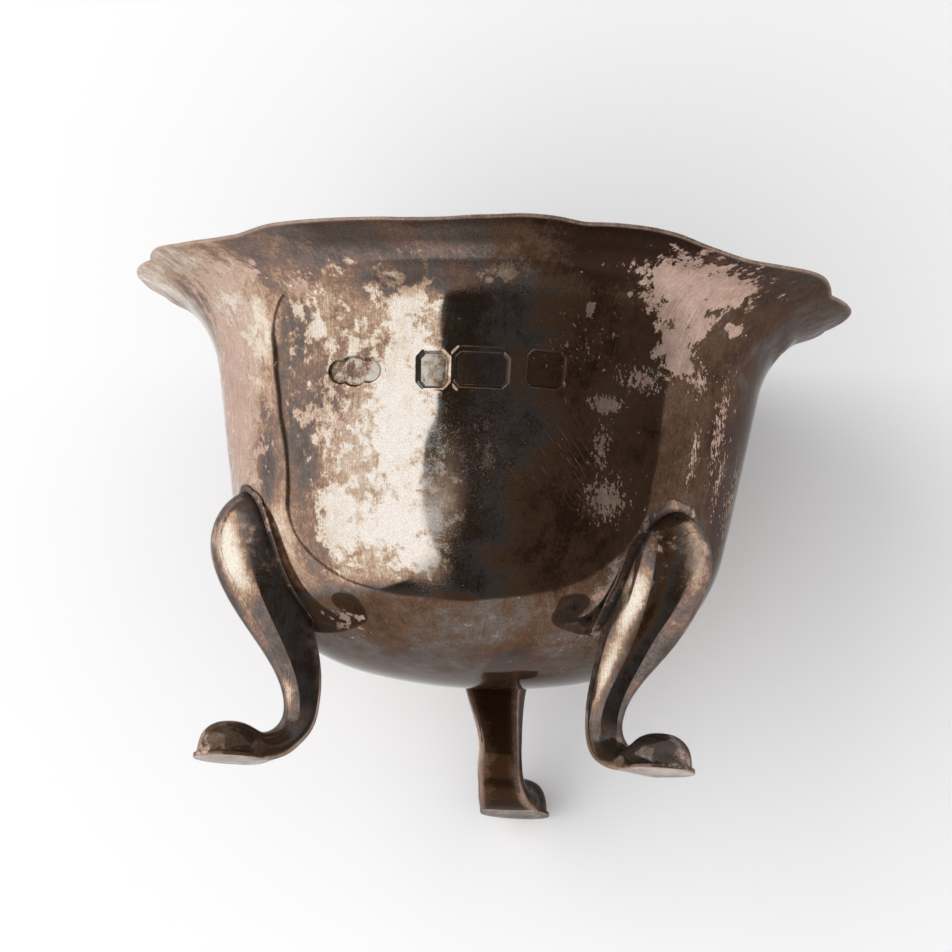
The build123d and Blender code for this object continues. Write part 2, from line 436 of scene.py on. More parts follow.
def wall_radius(height):
    """Outer radius of the bowl at a height below its flare."""
    height = np.asarray(height, float)
    on_wall = wall_foot[0] + (height - wall_foot[1]) / math.tan(math.radians(wall_slope))
    on_bouge = bouge_centre[0] + np.sqrt(np.maximum(bouge_radius**2 - (height - bouge_centre[1]) ** 2, 0))
    on_dome = np.sqrt(np.maximum(dome_radius**2 - (dome_centre[1] - height) ** 2, 0))
    on_dome = np.where(height > bottom_height, on_dome, 0)
    lower = np.where(height > bouge_foot[1], on_bouge, on_dome)
    return np.where(height > wall_foot[1], on_wall, lower)


def rim_edge(around):
    """Radius of the cut edge at angles from the camera: round lobes that meet in notches."""
    places, depths = np.array(rim_notches).T
    after = np.searchsorted(places, around) % len(places)
    before = after - 1
    width = (places[after] - places[before]) % 360
    share = ((around - places[before]) % 360) / width
    depth = np.where(share < 0.5, depths[before], depths[after])
    lobed = rim_radius - edge_loss - depth * (2 * share - 1) ** 2
    turned = np.radians(around + camera_side)
    room = min(min(abs(corner.x), abs(corner.y)) for corner in cad_box) / MM - box_slack
    return np.minimum(lobed, room / np.maximum(np.abs(np.cos(turned)), np.abs(np.sin(turned))))


def sheet_waves(points, around):
    """How far the raised sheet stands out or in at each point."""
    flat = points.reshape(-1, 3)
    waves = np.zeros(len(flat))
    for size, rise in hammer_waves:
        waves += [rise * noise.noise(Vector(point) / size) for point in flat]
    waves = waves.reshape(around.shape)
    for angle, level, radius, depth in dents:
        across = np.radians(wrapped(around - angle)) * wall_radius(level)
        waves -= depth * np.exp(-2 * (across**2 + (points[..., 2] - level) ** 2) / radius**2)
    return waves


def punch_field(around, heights):
    """Depth of the struck punches with their burr, and the dirt and painted shade in their corners."""
    burr, struck, dirt_and_shade = np.zeros((3, *heights.shape))
    for angle, rise, wide, tall, cut in punches:
        across = np.radians(wrapped(around - angle)) * wall_radius(punch_height)
        above = heights - punch_height - rise
        if cut is None:
            lobes = [
                (np.hypot((across / wide - middle) / half, above / tall / high) - 1) * tall * high
                for middle, half, high in punch_lobes
            ]
            outside = np.minimum.reduce(lobes)
        else:
            corner = (np.abs(across) + np.abs(above) - wide - tall + cut) / math.sqrt(2)
            outside = np.maximum(np.maximum(np.abs(across) - wide, np.abs(above) - tall), corner)
        burr = np.maximum(burr, punch_burr * hill(outside, burr_place, burr_width))
        struck = np.maximum(struck, 1 - smooth(outside, *punch_slope))
        on_floor = floor_dirt_and_shade * (1 - smooth(outside, *floor_edge))
        in_corner = corner_dirt_and_shade * hill(outside, corner_place, corner_width)
        dirt_and_shade = np.maximum.reduce((dirt_and_shade, on_floor, in_corner))
    return burr * (1 - struck) - punch_depth * struck, dirt_and_shade


def linked(name, data):
    """An object in the scene with a mesh, a camera or a light."""
    piece = bpy.data.objects.new(name, data)
    bpy.context.collection.objects.link(piece)
    return piece


def skin_piece(name, rings, marks, material, closed=False):
    """A mesh over rings of points, each a closed loop, with named values at the points.

    Its ends are filled, or it is joined back to its first ring.
    """
    rows, columns, _ = rings.shape
    here = np.arange(rows * columns).reshape(rows, columns)
    beside = np.roll(here, -1, axis=1)
    above, above_beside = np.roll(here, -1, axis=0), np.roll(beside, -1, axis=0)
    quads = np.stack((here, beside, above_beside, above), axis=-1)
    points = rings.reshape(-1, 3)
    values = {mark: value.reshape(-1) for mark, value in marks.items()}
    if closed:
        faces = quads.reshape(-1, 4).tolist()
    else:
        faces = quads[:-1].reshape(-1, 4).tolist()
        for row in (0, -1):
            middle = len(points)
            points = np.concatenate((points, [rings[row].mean(axis=0)]))
            faces += [(middle, int(a), int(b)) for a, b in zip(here[row], beside[row])]
            for mark, value in marks.items():
                values[mark] = np.append(values[mark], value[row].mean())
    mesh = bpy.data.meshes.new(name)
    mesh.from_pydata((points * MM).tolist(), [], faces)
    for mark, value in values.items():
        mesh.attributes.new(mark, "FLOAT", "POINT").data.foreach_set("value", value.astype(np.float32))
    shell = bmesh.new()
    shell.from_mesh(mesh)
    bmesh.ops.recalc_face_normals(shell, faces=shell.faces)
    shell.to_mesh(mesh)
    shell.free()
    mesh.shade_smooth()
    mesh.materials.append(material)
    return linked(name, mesh)


def bowl_columns():
    """Angles from the camera of the bowl's mesh lines, closer together across the punches."""
    steps = np.arange(round(360 / column_step))
    around = steps * column_step - 180
    middles = [angle for angle, *_ in punches]
    before, after = column_margin
    near = (around > min(middles) - before) & (around < max(middles) + after)
    return around[near | (steps % coarse_columns == 0)]


def face_rows(inset, edge, every):
    """Rows of (radius, height) over one face of the sheet, from its middle to the cut edge."""
    dome = np.linspace(-90, dome_turn - 90, dome_rows)[1:][::every]
    rows = [dome_centre + polar(dome_radius - inset, turn) for turn in dome]
    bouge = np.linspace(dome_turn - 90, wall_slope - 90, bouge_rows)[every::every]
    rows += [bouge_centre + polar(bouge_radius - inset, turn) for turn in bouge]
    foot = rows[-1]
    top = flare_centre + polar(flare_radius + inset, 90 + wall_slope)
    band = punch_height + np.array(row_margin)
    levels = np.concatenate((
        np.linspace(foot[1], band[0], wall_rows)[every::every],
        np.linspace(*band, punch_rows)[every::every],
        np.linspace(band[1], top[1], top_rows)[every::every],
    ))
    lean = math.tan(math.radians(wall_lean))
    rows += [np.array((foot[0] + (level - foot[1]) * lean, level)) for level in levels]
    plain = np.repeat(np.array(rows)[:, None, :], len(edge), axis=1)
    # the flare runs out to its own cut edge in every direction
    reach = flare_radius + inset
    end = np.degrees(np.arccos((edge - edge_round - flare_centre[0]) / reach))
    shares = np.linspace(0, 1, flare_rows)[every::every, None]
    turn = np.radians((90 + wall_slope) * (1 - shares) + end * shares)
    flare = flare_centre + reach * np.stack((np.cos(turn), np.sin(turn)), axis=-1)
    return np.concatenate((plain, flare))


def make_bowl(seams, material):
    """The raised sheet: outer face, worn cut edge and inner face in one closed mesh."""
    around = bowl_columns()
    edge = rim_edge(around)
    outer = face_rows(0, edge, every=1)
    inner = face_rows(bowl_wall, edge, every=inner_rows)
    outer[..., 1] += edge_thinning * (1 - smooth(edge - outer[..., 0], 0, thinning_run))
    rounded = []
    for turn in np.radians(np.linspace(-edge_turn, edge_turn, edge_rows)):
        share = (1 + np.sin(turn)) / 2
        level = outer[-1, :, 1] * (1 - share) + inner[-1, :, 1] * share
        rounded.append(np.stack((outer[-1, :, 0] + edge_round * np.cos(turn), level), axis=-1))
    section = np.concatenate((outer, np.array(rounded), inner[::-1]))
    radius, height = section[..., 0], section[..., 1]
    around = np.broadcast_to(around, radius.shape)
    turned = np.radians(around + camera_side)
    outside = np.arange(len(section))[:, None] < len(outer) + len(rounded)
    points = np.stack((radius * np.cos(turned), radius * np.sin(turned), height), axis=-1)
    waves = sheet_waves(points, around) * smooth(radius, *waves_start) * (1 - smooth(radius, *waves_end))
    struck, dirt_and_shade = punch_field(around, height)
    near_punch = outside & (np.abs(height - punch_height) < punch_reach)
    drop = round_curve(rim_bends, around, bend_softness) * smooth(radius, flare_foot, rim_radius)
    uneven = radius + waves + struck * near_punch
    rings = np.stack((uneven * np.cos(turned), uneven * np.sin(turned), height - drop), axis=-1)
    marks = bowl_marks(around, height, outside)
    marks["rubbed_edge"] = 1 - smooth(edge - radius, 0, rubbed_rim)
    # darkened with dirt and painted shade in the punches and along the knees' seams
    marks["dirt_and_shade"] = np.maximum(dirt_and_shade * near_punch, seam_dirt_and_shade(rings, seams) * outside)
    return skin_piece("bowl_sheet", rings, marks, material)


def bowl_marks(around, height, outside):
    """Where the bowl's film is thick, rubbed through or hazy, and distances over its face for strokes."""
    def distance(angle, level, wide, tall):
        across = np.radians(wrapped(around - angle)) * max(wall_radius(level), least_radius)
        return np.hypot(across / wide, (height - level) / tall)

    def torn(patches, least):
        field = np.full(height.shape, least)
        for *patch, amount in patches:
            field = np.maximum(field, amount * (torn_core - torn_fall * distance(*patch)))
        return field

    film_and_painted_light = round_curve(film_round, around, film_softness)
    film_and_painted_light = film_and_painted_light + rim_film * smooth(height, *rim_film_rise) * (1 - smooth(np.abs(around), *rim_film_end))
    film_and_painted_light = np.maximum(film_and_painted_light, bottom_film * (1 - smooth(height, *bottom_film_end)))
    # film patches, one of which paints the left leg's shade on the wall
    for *patch, change in film_and_shade_patches:
        film_and_painted_light = film_and_painted_light + change * hill(distance(*patch))
    scuffed = np.zeros(height.shape)
    for scuff in scuffs:
        scuffed = np.maximum(scuffed, 1 - scuff_fall * distance(*scuff))
    hazy = flare_haze * smooth(height, *flare_haze_rise)
    for *patch, amount in hazes:
        hazy = np.maximum(hazy, amount * hill(distance(*patch)))
    hazy = np.maximum(hazy, band_haze * hill(height, band_height, band_width) * (around > band_start))
    return {
        "tarnish_and_painted_light": np.where(outside, film_and_painted_light, inside_film),
        "rubbed": np.where(outside, torn(rubbed_patches, rubbed_least), inside_rubbed),
        "thinned": np.where(outside, torn(thinned_patches, thinned_least), inside_thinned),
        "flecked": torn(flecks, flecked_least) * outside,
        "scuffed": scuffed,
        "hazy": np.where(outside, hazy, inside_haze),
        "along": np.radians(around) * wall_radius(punch_height),
        "across": height,
    }


def seam_dirt_and_shade(rings, seams):
    """Dirt and painted shade along the knees' solder seams, fading out over the bowl."""
    tree = kdtree.KDTree(len(seams))
    for index, point in enumerate(seams):
        tree.insert(point, index)
    tree.balance()
    flat = rings.reshape(-1, 3)
    low, high = min(seam[2] for seam in seams), max(seam[2] for seam in seams)
    faded = 10 * seam_reach
    distance = np.full(len(flat), faded)
    for index in np.flatnonzero((flat[:, 2] > low - 2 * seam_reach) & (flat[:, 2] < high + 2 * seam_reach)):
        distance[index] = tree.find(flat[index])[2]
    return seam_soil_and_shade * hill(distance, spread=seam_reach).reshape(rings.shape[:2])


def bezier(start, pull, push, end, count):
    """Points along a cubic curve, without its first point."""
    share = np.linspace(0, 1, count + 1)[1:, None]
    rest = 1 - share
    return (
        rest**3 * np.array(start)
        + 3 * rest**2 * share * np.array(pull)
        + 3 * rest * share**2 * np.array(push)
        + share**3 * np.array(end)
    )


def shank_section(depth, width, side):
    """Half a D of (across, depth): flat back with a filed corner, rounded front."""
    half = width / 2
    corner = half - min(back_bevel, half / 3)
    chamfer = min(back_chamfer, half / 4, depth / 6)
    pull = front_fullness * (depth - side)
    back = np.linspace((0, 0), (corner - chamfer, 0), back_points)
    flank = np.linspace((corner, chamfer), (half, side), side_points)
    crown = (front_fullness * half, depth)
    front = bezier((half, side), (half, side + pull), crown, (0, depth), front_points)
    return np.concatenate((back, flank, front))


def bulge(distance, limit):
    """Share of full height left at a distance from the middle of a squarish dome."""
    share = np.clip(np.abs(distance) / limit, 0, 1)
    return np.maximum(1 - share**pad_squareness, 0) ** (1 / pad_squareness)


def foot_section(reach, arch_height):
    """Half a section of (across, height) through the foot: flat sole, thin lip, arch running into a dome."""
    off = reach - foot_reach
    pad_half = math.sqrt(max(pad_radius**2 - off**2, toe_narrowest))
    arch_half = arch_width / 2 * (1 - smooth(off, *arch_narrows))
    half = max(pad_half, arch_half)
    lip = min(pad_lip, toe_lip + lip_gain * half)
    back = np.linspace((0, 0), (half - sole_chamfer, 0), back_points)
    flank = np.linspace((half, sole_chamfer), (half - lip_lean, lip * lip_side), side_points)
    across = (half - sole_chamfer) * np.cos(np.radians(np.linspace(0, 90, front_points + 1)[1:]))
    dome = pad_lip + (pad_height - pad_lip) * bulge(np.hypot(off, across), pad_neck)
    arch = (arch_height - arch_round) + arch_round * bulge(across, max(arch_half, arch_end))
    arch = arch * (1 - smooth(off, *arch_sinks))
    web = web_rise * hill(dome, arch, web_width) * (arch > arch_end)
    top = np.clip(np.maximum(dome, arch) + web, lip, pad_height)
    return np.concatenate((back, flank, np.stack((across, top), axis=-1)))


def leg_stations():
    """Origin (reach, height) on the back, facing and half section of each ring, from knee to toe."""
    knee_front = np.array((wall_radius(knee_height) + knee_proud, knee_height))
    ankle_front = np.array((ankle_reach, ankle_height))
    stations = []

    def add_shank(front, facing, depth, width, side):
        section = shank_section(depth, width, max(side, least_side))
        stations.append((front - polar(depth, facing), facing, section))

    for tilt in np.radians(np.linspace(knee_tilt, 0, knee_rings + 1)[:-1]):
        narrow = math.cos(tilt)
        front = knee_front + (knee_top_run * (narrow - 1), knee_top_rise * math.sin(tilt))
        add_shank(front, 0, knee_depth, knee_width * narrow, knee_depth - knee_round * narrow)
    calf, shin = knee_front - (0, calf_handle), ankle_front + (0, shin_handle)
    line = bezier(knee_front, calf, shin, ankle_front, shank_rings)
    for step, front in enumerate([knee_front, *line]):
        ease = (1 + math.cos(math.pi * step / shank_rings)) / 2
        narrow = ease**width_taper
        depth = ankle_depth + (knee_depth - ankle_depth) * ease**depth_taper
        rise = ankle_round + (knee_round - ankle_round) * narrow
        add_shank(front, 0, depth, ankle_width + (knee_width - ankle_width) * narrow, depth - rise)
    instep = ankle_front + (instep_radius, 0)
    arch_height = instep[1] - instep_radius
    for facing in np.linspace(0, 90, instep_rings + 1)[1:]:
        share = facing / 90
        depth = np.interp(share, (0, 0.5, 1), (ankle_depth, heel_depth, arch_height))
        width = np.interp(share, (0, 0.5, 1), (ankle_width, heel_width, arch_width))
        rise = ankle_round + (arch_round - ankle_round) * share
        add_shank(instep - polar(instep_radius, facing), facing, depth, width, depth - rise)
    toe = foot_reach + pad_radius
    for share in np.sin(np.radians(np.linspace(0, toe_tilt, foot_rings + 1)))[1:]:
        reach = instep[0] + (toe - instep[0]) * share
        stations.append((np.array((reach, 0)), 90, foot_section(reach, arch_height)))
    return stations


def leg_rings():
    """Rings of one leg along +X, with how near each point lies to a filed edge and to the flat back."""
    rings, edges, backs = [], [], []
    corner = back_points - 0.5
    for back, facing, half_section in leg_stations():
        section = np.concatenate((half_section, half_section[-2:0:-1] * (-1, 1)))
        towards = polar(1, facing)
        place = back + section[:, 1:] * towards
        rings.append(np.stack((place[:, 0], section[:, 0], place[:, 1]), axis=-1))
        steps = np.minimum(np.arange(len(section)), len(section) - np.arange(len(section)))
        edges.append(hill(steps, corner, edge_spread))
        backs.append(1 - smooth(steps, corner - 1, corner + 1))
    rings, edges, backs = np.array(rings), np.array(edges), np.array(backs)
    # file the joins between shank, heel and pad smooth
    for _ in range(filing_passes):
        eased = (rings[:-2] + 2 * rings[1:-1] + rings[2:]) / 4
        rings[1:-1] = np.where(rings[1:-1, :, 2:] > filing_level, eased, rings[1:-1])
    rings[..., 2] = np.maximum(rings[..., 2], 0)
    return rings, edges, backs


def fit_leg(rings, side):
    """A leg along +X bent the way it was fitted by hand."""
    fit = {bend: amounts.get(side, 0) for bend, amounts in leg_fit.items()}
    reach, across, level = rings[..., 0], rings[..., 1], rings[..., 2]
    on_shank = np.maximum(smooth(level, *ankle_rise), 1 - smooth(reach, *pad_start))
    upper = smooth(level, *knee_rise)
    drop = (fit["instep"] * (1 - upper) + fit["knee"] * upper) * on_shank * smooth(level, *sole_rise)
    lean = fit["lean"] * smooth(level, *lean_rise)
    turn = math.radians(fit["turn"]) * (1 - smooth(level, *turn_end))
    out = reach - ankle_reach + fit["twist"] * across * smooth(level, *twist_rise)
    across = across * (1 + fit["stout"] * smooth(level, *stout_rise) * (1 - smooth(level, *stout_end)))
    return np.stack((
        ankle_reach + out * np.cos(turn) - across * np.sin(turn),
        across * np.cos(turn) + out * np.sin(turn) + lean,
        level - drop,
    ), axis=-1)


def turn_to(side, points):
    """Points along +X turned to a leg's place."""
    turn = math.radians(leg_angles[side])
    x = points[..., 0] * math.cos(turn) - points[..., 1] * math.sin(turn)
    y = points[..., 0] * math.sin(turn) + points[..., 1] * math.cos(turn)
    return np.stack((x, y, points[..., 2]), axis=-1)


def make_leg(side, rings, edges, backs, material):
    """A cast leg whose knee is filed to sit on the bowl."""
    fitted = fit_leg(rings, side)
    level = fitted[..., 2]
    radius = np.hypot(fitted[..., 0], fitted[..., 1])
    gap = radius - wall_radius(level)
    inside = np.maximum(-knee_sink - gap, 0)
    fitted[..., :2] *= ((radius + inside) / radius)[..., None]
    on_knee = hill(level, knee_wear_height, knee_wear_spread) * (1 - backs)
    on_pad = 1 - smooth(level, *pad_end)
    on_toe = smooth(fitted[..., 0] - foot_reach, *toe_start)
    placed = turn_to(side, fitted)
    off = placed - placed.mean(axis=1, keepdims=True)
    facing = wrapped(np.degrees(np.arctan2(off[..., 1], off[..., 0])) - camera_side)
    # film with painted light: thin where highlights fall, thick on the back and on the sides in shade
    film_and_painted_light = leg_film + back_film_and_shade * backs + pad_film * on_pad
    for direction, middle, wide, tall, change in leg_film_and_light_patches[side]:
        distance = np.hypot(wrapped(facing - direction) / wide, (level - middle) / tall)
        film_and_painted_light = film_and_painted_light + change * hill(distance)
    marks = {
        "tarnish_and_painted_light": np.where(level > sole_level, film_and_painted_light, sole_film),
        "rubbed": np.maximum(knee_rubbed * on_knee, toe_rubbed * on_toe) * (1 - backs),
        "hazy": leg_haze + knee_haze * on_knee * smooth(facing, *knee_haze_facing) + pad_haze * on_pad,
        "along": fitted[..., 0],
        "across": level,
        "rubbed_edge": edges,
        # dirt and painted shade on the leg where it comes close to the bowl
        "dirt_and_shade": knee_dirt_and_shade * hill(np.maximum(gap, 0), spread=knee_dirt_and_shade_reach) * (level > bottom_height),
    }
    return skin_piece(f"cabriole_leg_{side}", placed, marks, material)


def seam_loop(rings, side):
    """Where a leg along +X meets the bowl: a closed loop of (angle in radians, height)."""
    fitted = fit_leg(rings, side)
    outside = np.hypot(fitted[..., 0], fitted[..., 1]) - wall_radius(fitted[..., 2])
    half = rings.shape[1] // 2
    halves = {1: [], -1: []}
    for row in range(len(rings)):
        if fitted[row, 0, 2] < bottom_height:
            break
        for way, found in halves.items():
            for step in range(half):
                a, b = way * step, way * (step + 1)
                if outside[row, a] < 0 <= outside[row, b]:
                    share = outside[row, a] / (outside[row, a] - outside[row, b])
                    point = fitted[row, a] * (1 - share) + fitted[row, b] * share
                    found.append((math.atan2(point[1], point[0]), point[2]))
                    break
    return np.array(halves[1][::-1] + halves[-1])


def even_loop(loop):
    """The same closed loop with evenly spaced, eased points, as (distance round the bowl, height)."""
    flat = loop * (wall_radius(knee_height), 1)
    closed = np.concatenate((flat, flat[:1]))
    lengths = np.concatenate(([0], np.cumsum(np.hypot(*np.diff(closed, axis=0).T))))
    places = np.linspace(0, lengths[-1], fillet_points, endpoint=False)
    even = np.stack([np.interp(places, lengths, closed[:, i]) for i in (0, 1)], axis=-1)
    for _ in range(easing_passes):
        even = (np.roll(even, 1, axis=0) + 2 * even + np.roll(even, -1, axis=0)) / 4
    return even


def on_wall(side, flat, off):
    """Points at a distance off the bowl's outside, from (distance round it, height) about a leg."""
    radius = wall_radius(flat[:, 1]) + off
    angle = flat[:, 0] / wall_radius(knee_height)
    return turn_to(side, np.stack((radius * np.cos(angle), radius * np.sin(angle), flat[:, 1]), axis=-1))


def make_solder(side, seam, material):
    """The fillet of solder that runs round a knee where it meets the bowl."""
    ahead = np.roll(seam, -1, axis=0) - np.roll(seam, 1, axis=0)
    ahead /= np.hypot(*ahead.T)[:, None]
    out = np.stack((ahead[:, 1], -ahead[:, 0]), axis=-1)
    out *= np.sign(((seam - seam.mean(axis=0)) * out).sum())
    # (outward, off the wall) round the fillet's hollow section, with the dirt and painted shade on it,
    # darkest in the crevice under the knee
    section = (
        (-fillet_cover, -fillet_root, 1.0),
        (-fillet_cover, fillet_rise, 1.0),
        (-fillet_lap, fillet_rise, 0.8),
        (fillet_width * 0.12, fillet_rise * 0.6, 0.4),
        (fillet_width * 0.35, fillet_rise * 0.5, 0.0),
        (fillet_width * 0.7, fillet_rise * 0.35, 0.0),
        (fillet_width, 0.0, 0.3),
        (fillet_width, -fillet_root, 0.5),
    )
    waver = [noise.noise(Vector((step * waver_step, leg_angles[side], 0))) for step in range(len(seam))]
    share = leg_fit["solder"][side]
    width = (share + fillet_waver * np.array(waver))[:, None]
    rings = np.array([
        on_wall(side, seam + out * outward * width, off * share) for outward, off, _ in section
    ])
    plain = np.ones(rings.shape[:2])
    marks = {
        "tarnish_and_painted_light": fillet_film * plain,
        "rubbed": fillet_rubbed * plain,
        "hazy": fillet_haze * plain,
        "along": rings[..., 0],
        "across": rings[..., 2],
        "dirt_and_shade": plain * np.array([dirt_and_shade for *_, dirt_and_shade in section])[:, None],
    }
    return skin_piece(f"solder_fillet_{side}", rings, marks, material, closed=True)


def linear(code):
    """An sRGB hex colour as linear red, green, blue and alpha."""
    parts = [int(code[i:i + 2], 16) / 255 for i in (1, 3, 5)]
    return [p / 12.92 if p < 0.04045 else ((p + 0.055) / 1.055) ** 2.4 for p in parts] + [1.0]


def add(tree, kind, settings=None, *first, **others):
    """Adds a shader node, sets its properties, and sets or links its inputs in order, by name or as in_6."""
    node = tree.nodes.new("ShaderNode" + kind)
    for key, value in (settings or {}).items():
        setattr(node, key, value)
    ordered = {f"in_{index}": value for index, value in enumerate(first)}
    for key, value in {**ordered, **others}.items():
        place = int(key[3:]) if key.startswith("in_") else key.replace("_", " ")
        if isinstance(value, bpy.types.Node):
            value = value.outputs[0]
        if isinstance(value, bpy.types.NodeSocket):
            tree.links.new(value, node.inputs[place])
        else:
            node.inputs[place].default_value = value
    return node


def tarnished_silver(name, clean_tint, thick_tint, glance_tint, cloud, mottle, softness):
    """Old sterling silver under a sulphide film that runs from cream through grey to dark brown.

    The film shows as slow clouds of colour with a sharp sheen. Rubbed patches are paler and duller,
    filed edges are rubbed bright, and dirt and painted shade darken the corners, seams and crevices.
    The film mark also carries painted highlights and shade where it was thinned or thickened for the light.
    The cloud is the size of the slow clouds, the mottle is how blotchy the film is
    and the softness is how gently rubbed patches fade out.
    """
    material = bpy.data.materials.new(name)
    material.use_nodes = True
    tree = material.node_tree
    shader = tree.nodes["Principled BSDF"]
    multiply, multiply_add = {"operation": "MULTIPLY"}, {"operation": "MULTIPLY_ADD"}
    larger, summed = {"operation": "MAXIMUM"}, {"operation": "ADD"}
    eased, colours = {"interpolation_type": "SMOOTHSTEP"}, {"data_type": "RGBA"}
    place = add(tree, "TexCoord").outputs["Object"]
    marks = {}
    for mark in (
        "tarnish_and_painted_light", "rubbed", "thinned", "flecked", "rubbed_edge", "dirt_and_shade", "hazy", "scuffed",
        "along", "across",
    ):
        marks[mark] = add(tree, "Attribute", {"attribute_name": mark}).outputs["Fac"]

    # patterns at their real sizes
    patterns = {}
    for pattern, (size, detail, rough) in {"clouds": (cloud, 5, 0.6), **film_patterns}.items():
        patterns[pattern] = add(
            tree, "TexNoise", Vector=place, Scale=1 / (size * MM), Detail=detail, Roughness=rough,
        )
    # strokes and flecks lie slantwise, and the last polishing ran up and down
    face = add(tree, "CombineXYZ", X=marks["along"], Y=marks["across"])
    for pattern, (slant, length, width, detail) in stroke_patterns.items():
        lay = add(
            tree, "Mapping", {"vector_type": "TEXTURE"}, Vector=face,
            Rotation=(0, 0, math.radians(slant)), Scale=(length, width, 1),
        )
        patterns[pattern] = add(tree, "TexNoise", Vector=lay, Scale=1, Detail=detail, Roughness=0.7)

    # places with torn edges: rubbed through to dull metal, polished thin, and chipped to flecks
    masks = {}
    for mark, pattern, soft in (
        ("rubbed", "ragged", softness),
        ("thinned", "ragged", thinned_softness * softness),
        ("flecked", "flecks", softness),
    ):
        torn = add(tree, "Math", multiply_add, patterns[pattern], torn_contrast, marks[mark])
        masks[mark] = add(
            tree, "MapRange", eased, Value=torn, From_Min=torn_level - soft, From_Max=torn_level + soft,
        )
    patch = add(tree, "Math", larger, masks["rubbed"], masks["flecked"])

    # thickness of the film, made uneven by patterns that are one half on average, and its colour
    amounts = {"clouds": 0.7, "blotches": mottle, "specks": 0.3, "brushed": 0.4}
    uneven = -sum(amounts.values()) / 2
    for pattern, amount in amounts.items():
        uneven = add(tree, "Math", multiply_add, patterns[pattern], amount, uneven)
    uneven = add(tree, "Math", multiply_add, masks["thinned"], -thinned_loss, uneven)
    # the tarnish mark carries the film with painted light: highlights and shade on the legs and a shaded
    # patch on the bowl
    film_and_painted_light = add(tree, "Math", {"use_clamp": True, **summed}, uneven, marks["tarnish_and_painted_light"])
    tint = add(tree, "ValToRGB", Fac=film_and_painted_light)
    stops = ((0.0, clean_tint), *film_tints, (1.0, thick_tint))
    ramp = tint.color_ramp
    while len(ramp.elements) < len(stops):
        ramp.elements.new(0.5)
    for element, (position, code) in zip(ramp.elements, stops):
        element.position = position
        element.color = linear(code)

    # bare metal in the patches and flecks, along slanting strokes and on edges
    stroke = add(tree, "MapRange", eased, Value=patterns["strokes"], From_Min=0.56, From_Max=0.72, To_Max=0.6)
    stroke = add(tree, "Math", multiply, stroke, marks["scuffed"])
    edge = add(tree, "Math", multiply, marks["rubbed_edge"], patterns["blotches"])
    worn = add(tree, "Math", larger, add(tree, "Math", larger, patch, edge), stroke)
    streaks = add(tree, "Math", multiply_add, patterns["brushed"], 0.9, -0.45)
    streaks = add(tree, "Math", {"use_clamp": True, **multiply_add}, patterns["blotches"], 1.1, streaks)
    dark_bare, bright_bare = (linear(code) for code in bare_tints)
    bare = add(tree, "Mix", colours, streaks, in_6=dark_bare, in_7=bright_bare).outputs[2]
    colour = add(tree, "Mix", colours, worn, in_6=tint, in_7=bare).outputs[2]
    # dirt and painted shade: darkens the colour in punch corners, along the knees' seams and in the solder's
    # crevice
    soiled_and_shaded = add(tree, "Mix", colours, marks["dirt_and_shade"], in_6=colour, in_7=linear(dirt_and_shade_tint)).outputs[2]
    # fine pits break every tone up
    pitted = add(
        tree, "MapRange", Value=patterns["pits"], From_Min=0.3, From_Max=0.7, To_Min=0.84, To_Max=1.16,
    )
    broken = add(tree, "HueSaturation", Color=soiled_and_shaded, Value=pitted)

    # sheen: sharp on the film, hazy at its specks, dull where it is rubbed or dirty
    smudge = add(tree, "Math", multiply_add, patterns["specks"], 0.8, patterns["blotches"])
    dusty = add(tree, "MapRange", eased, Value=patterns["pits"], From_Min=0.54, From_Max=0.64, To_Max=0.5)
    smudge = add(tree, "Math", summed, smudge, dusty)
    hazier = add(tree, "Math", multiply, marks["hazy"], smudge)
    haze = add(
        tree, "MapRange", eased, Value=hazier,
        From_Min=0.1, From_Max=1.0, To_Min=sharp_sheen, To_Max=hazy_sheen,
    )
    dull = add(tree, "Mix", in_0=patch, in_2=haze, in_3=rubbed_sheen)
    dull = add(tree, "Mix", in_0=marks["dirt_and_shade"], in_2=dull, in_3=dirty_sheen)
    # a thick film is no longer a metal's mirror and shows its own brown
    mirror = add(
        tree, "MapRange", eased, Value=film_and_painted_light, From_Min=0.4, From_Max=0.95, To_Min=1, To_Max=thick_mirror,
    )
    mirror = add(tree, "Math", larger, mirror, worn)
    # the film soaks up the light that clean metal would throw off at a glance
    glance = add(tree, "Mix", colours, film_and_painted_light, in_6=linear("#FFFFFF"), in_7=linear(glance_tint))
    # the film lies a little proud of the rubbed metal
    relief = add(tree, "Math", multiply_add, patterns["specks"], 0.06, patch)
    bump = add(tree, "Bump", {"invert": True}, Height=relief, Strength=0.4, Distance=film_step * MM)
    for key, node in (("Base Color", broken), ("Roughness", dull), ("Metallic", mirror), ("Normal", bump)):
        tree.links.new(node.outputs[0], shader.inputs[key])
    tree.links.new(glance.outputs[2], shader.inputs["Specular Tint"])
    return material


def make_camera():
    """The photograph's camera, a little below the soles and rolled a few degrees."""
    data = bpy.data.cameras.new("camera")
    data.lens = camera_lens
    camera = linked("camera", data)
    place = np.append(polar(camera_reach, camera_side), camera_height) * MM
    matrix = Matrix.Translation(Vector(place))
    for turn, axis in ((camera_turn - camera_yaw, "Z"), (90 + camera_pitch, "X"), (camera_roll, "Z")):
        matrix = matrix @ Matrix.Rotation(math.radians(turn), 4, axis)
    camera.matrix_world = matrix
    bpy.context.scene.camera = camera


def make_card(name, radius, material):
    """A flat round card."""
    turns = np.radians(np.arange(0, 360, 3))
    points = np.stack((radius * np.cos(turns), radius * np.sin(turns), 0 * turns), axis=-1)
    mesh = bpy.data.meshes.new(name)
    mesh.from_pydata((points * MM).tolist(), [], [list(range(len(points)))])
    mesh.materials.append(material)
    return linked(name, mesh)


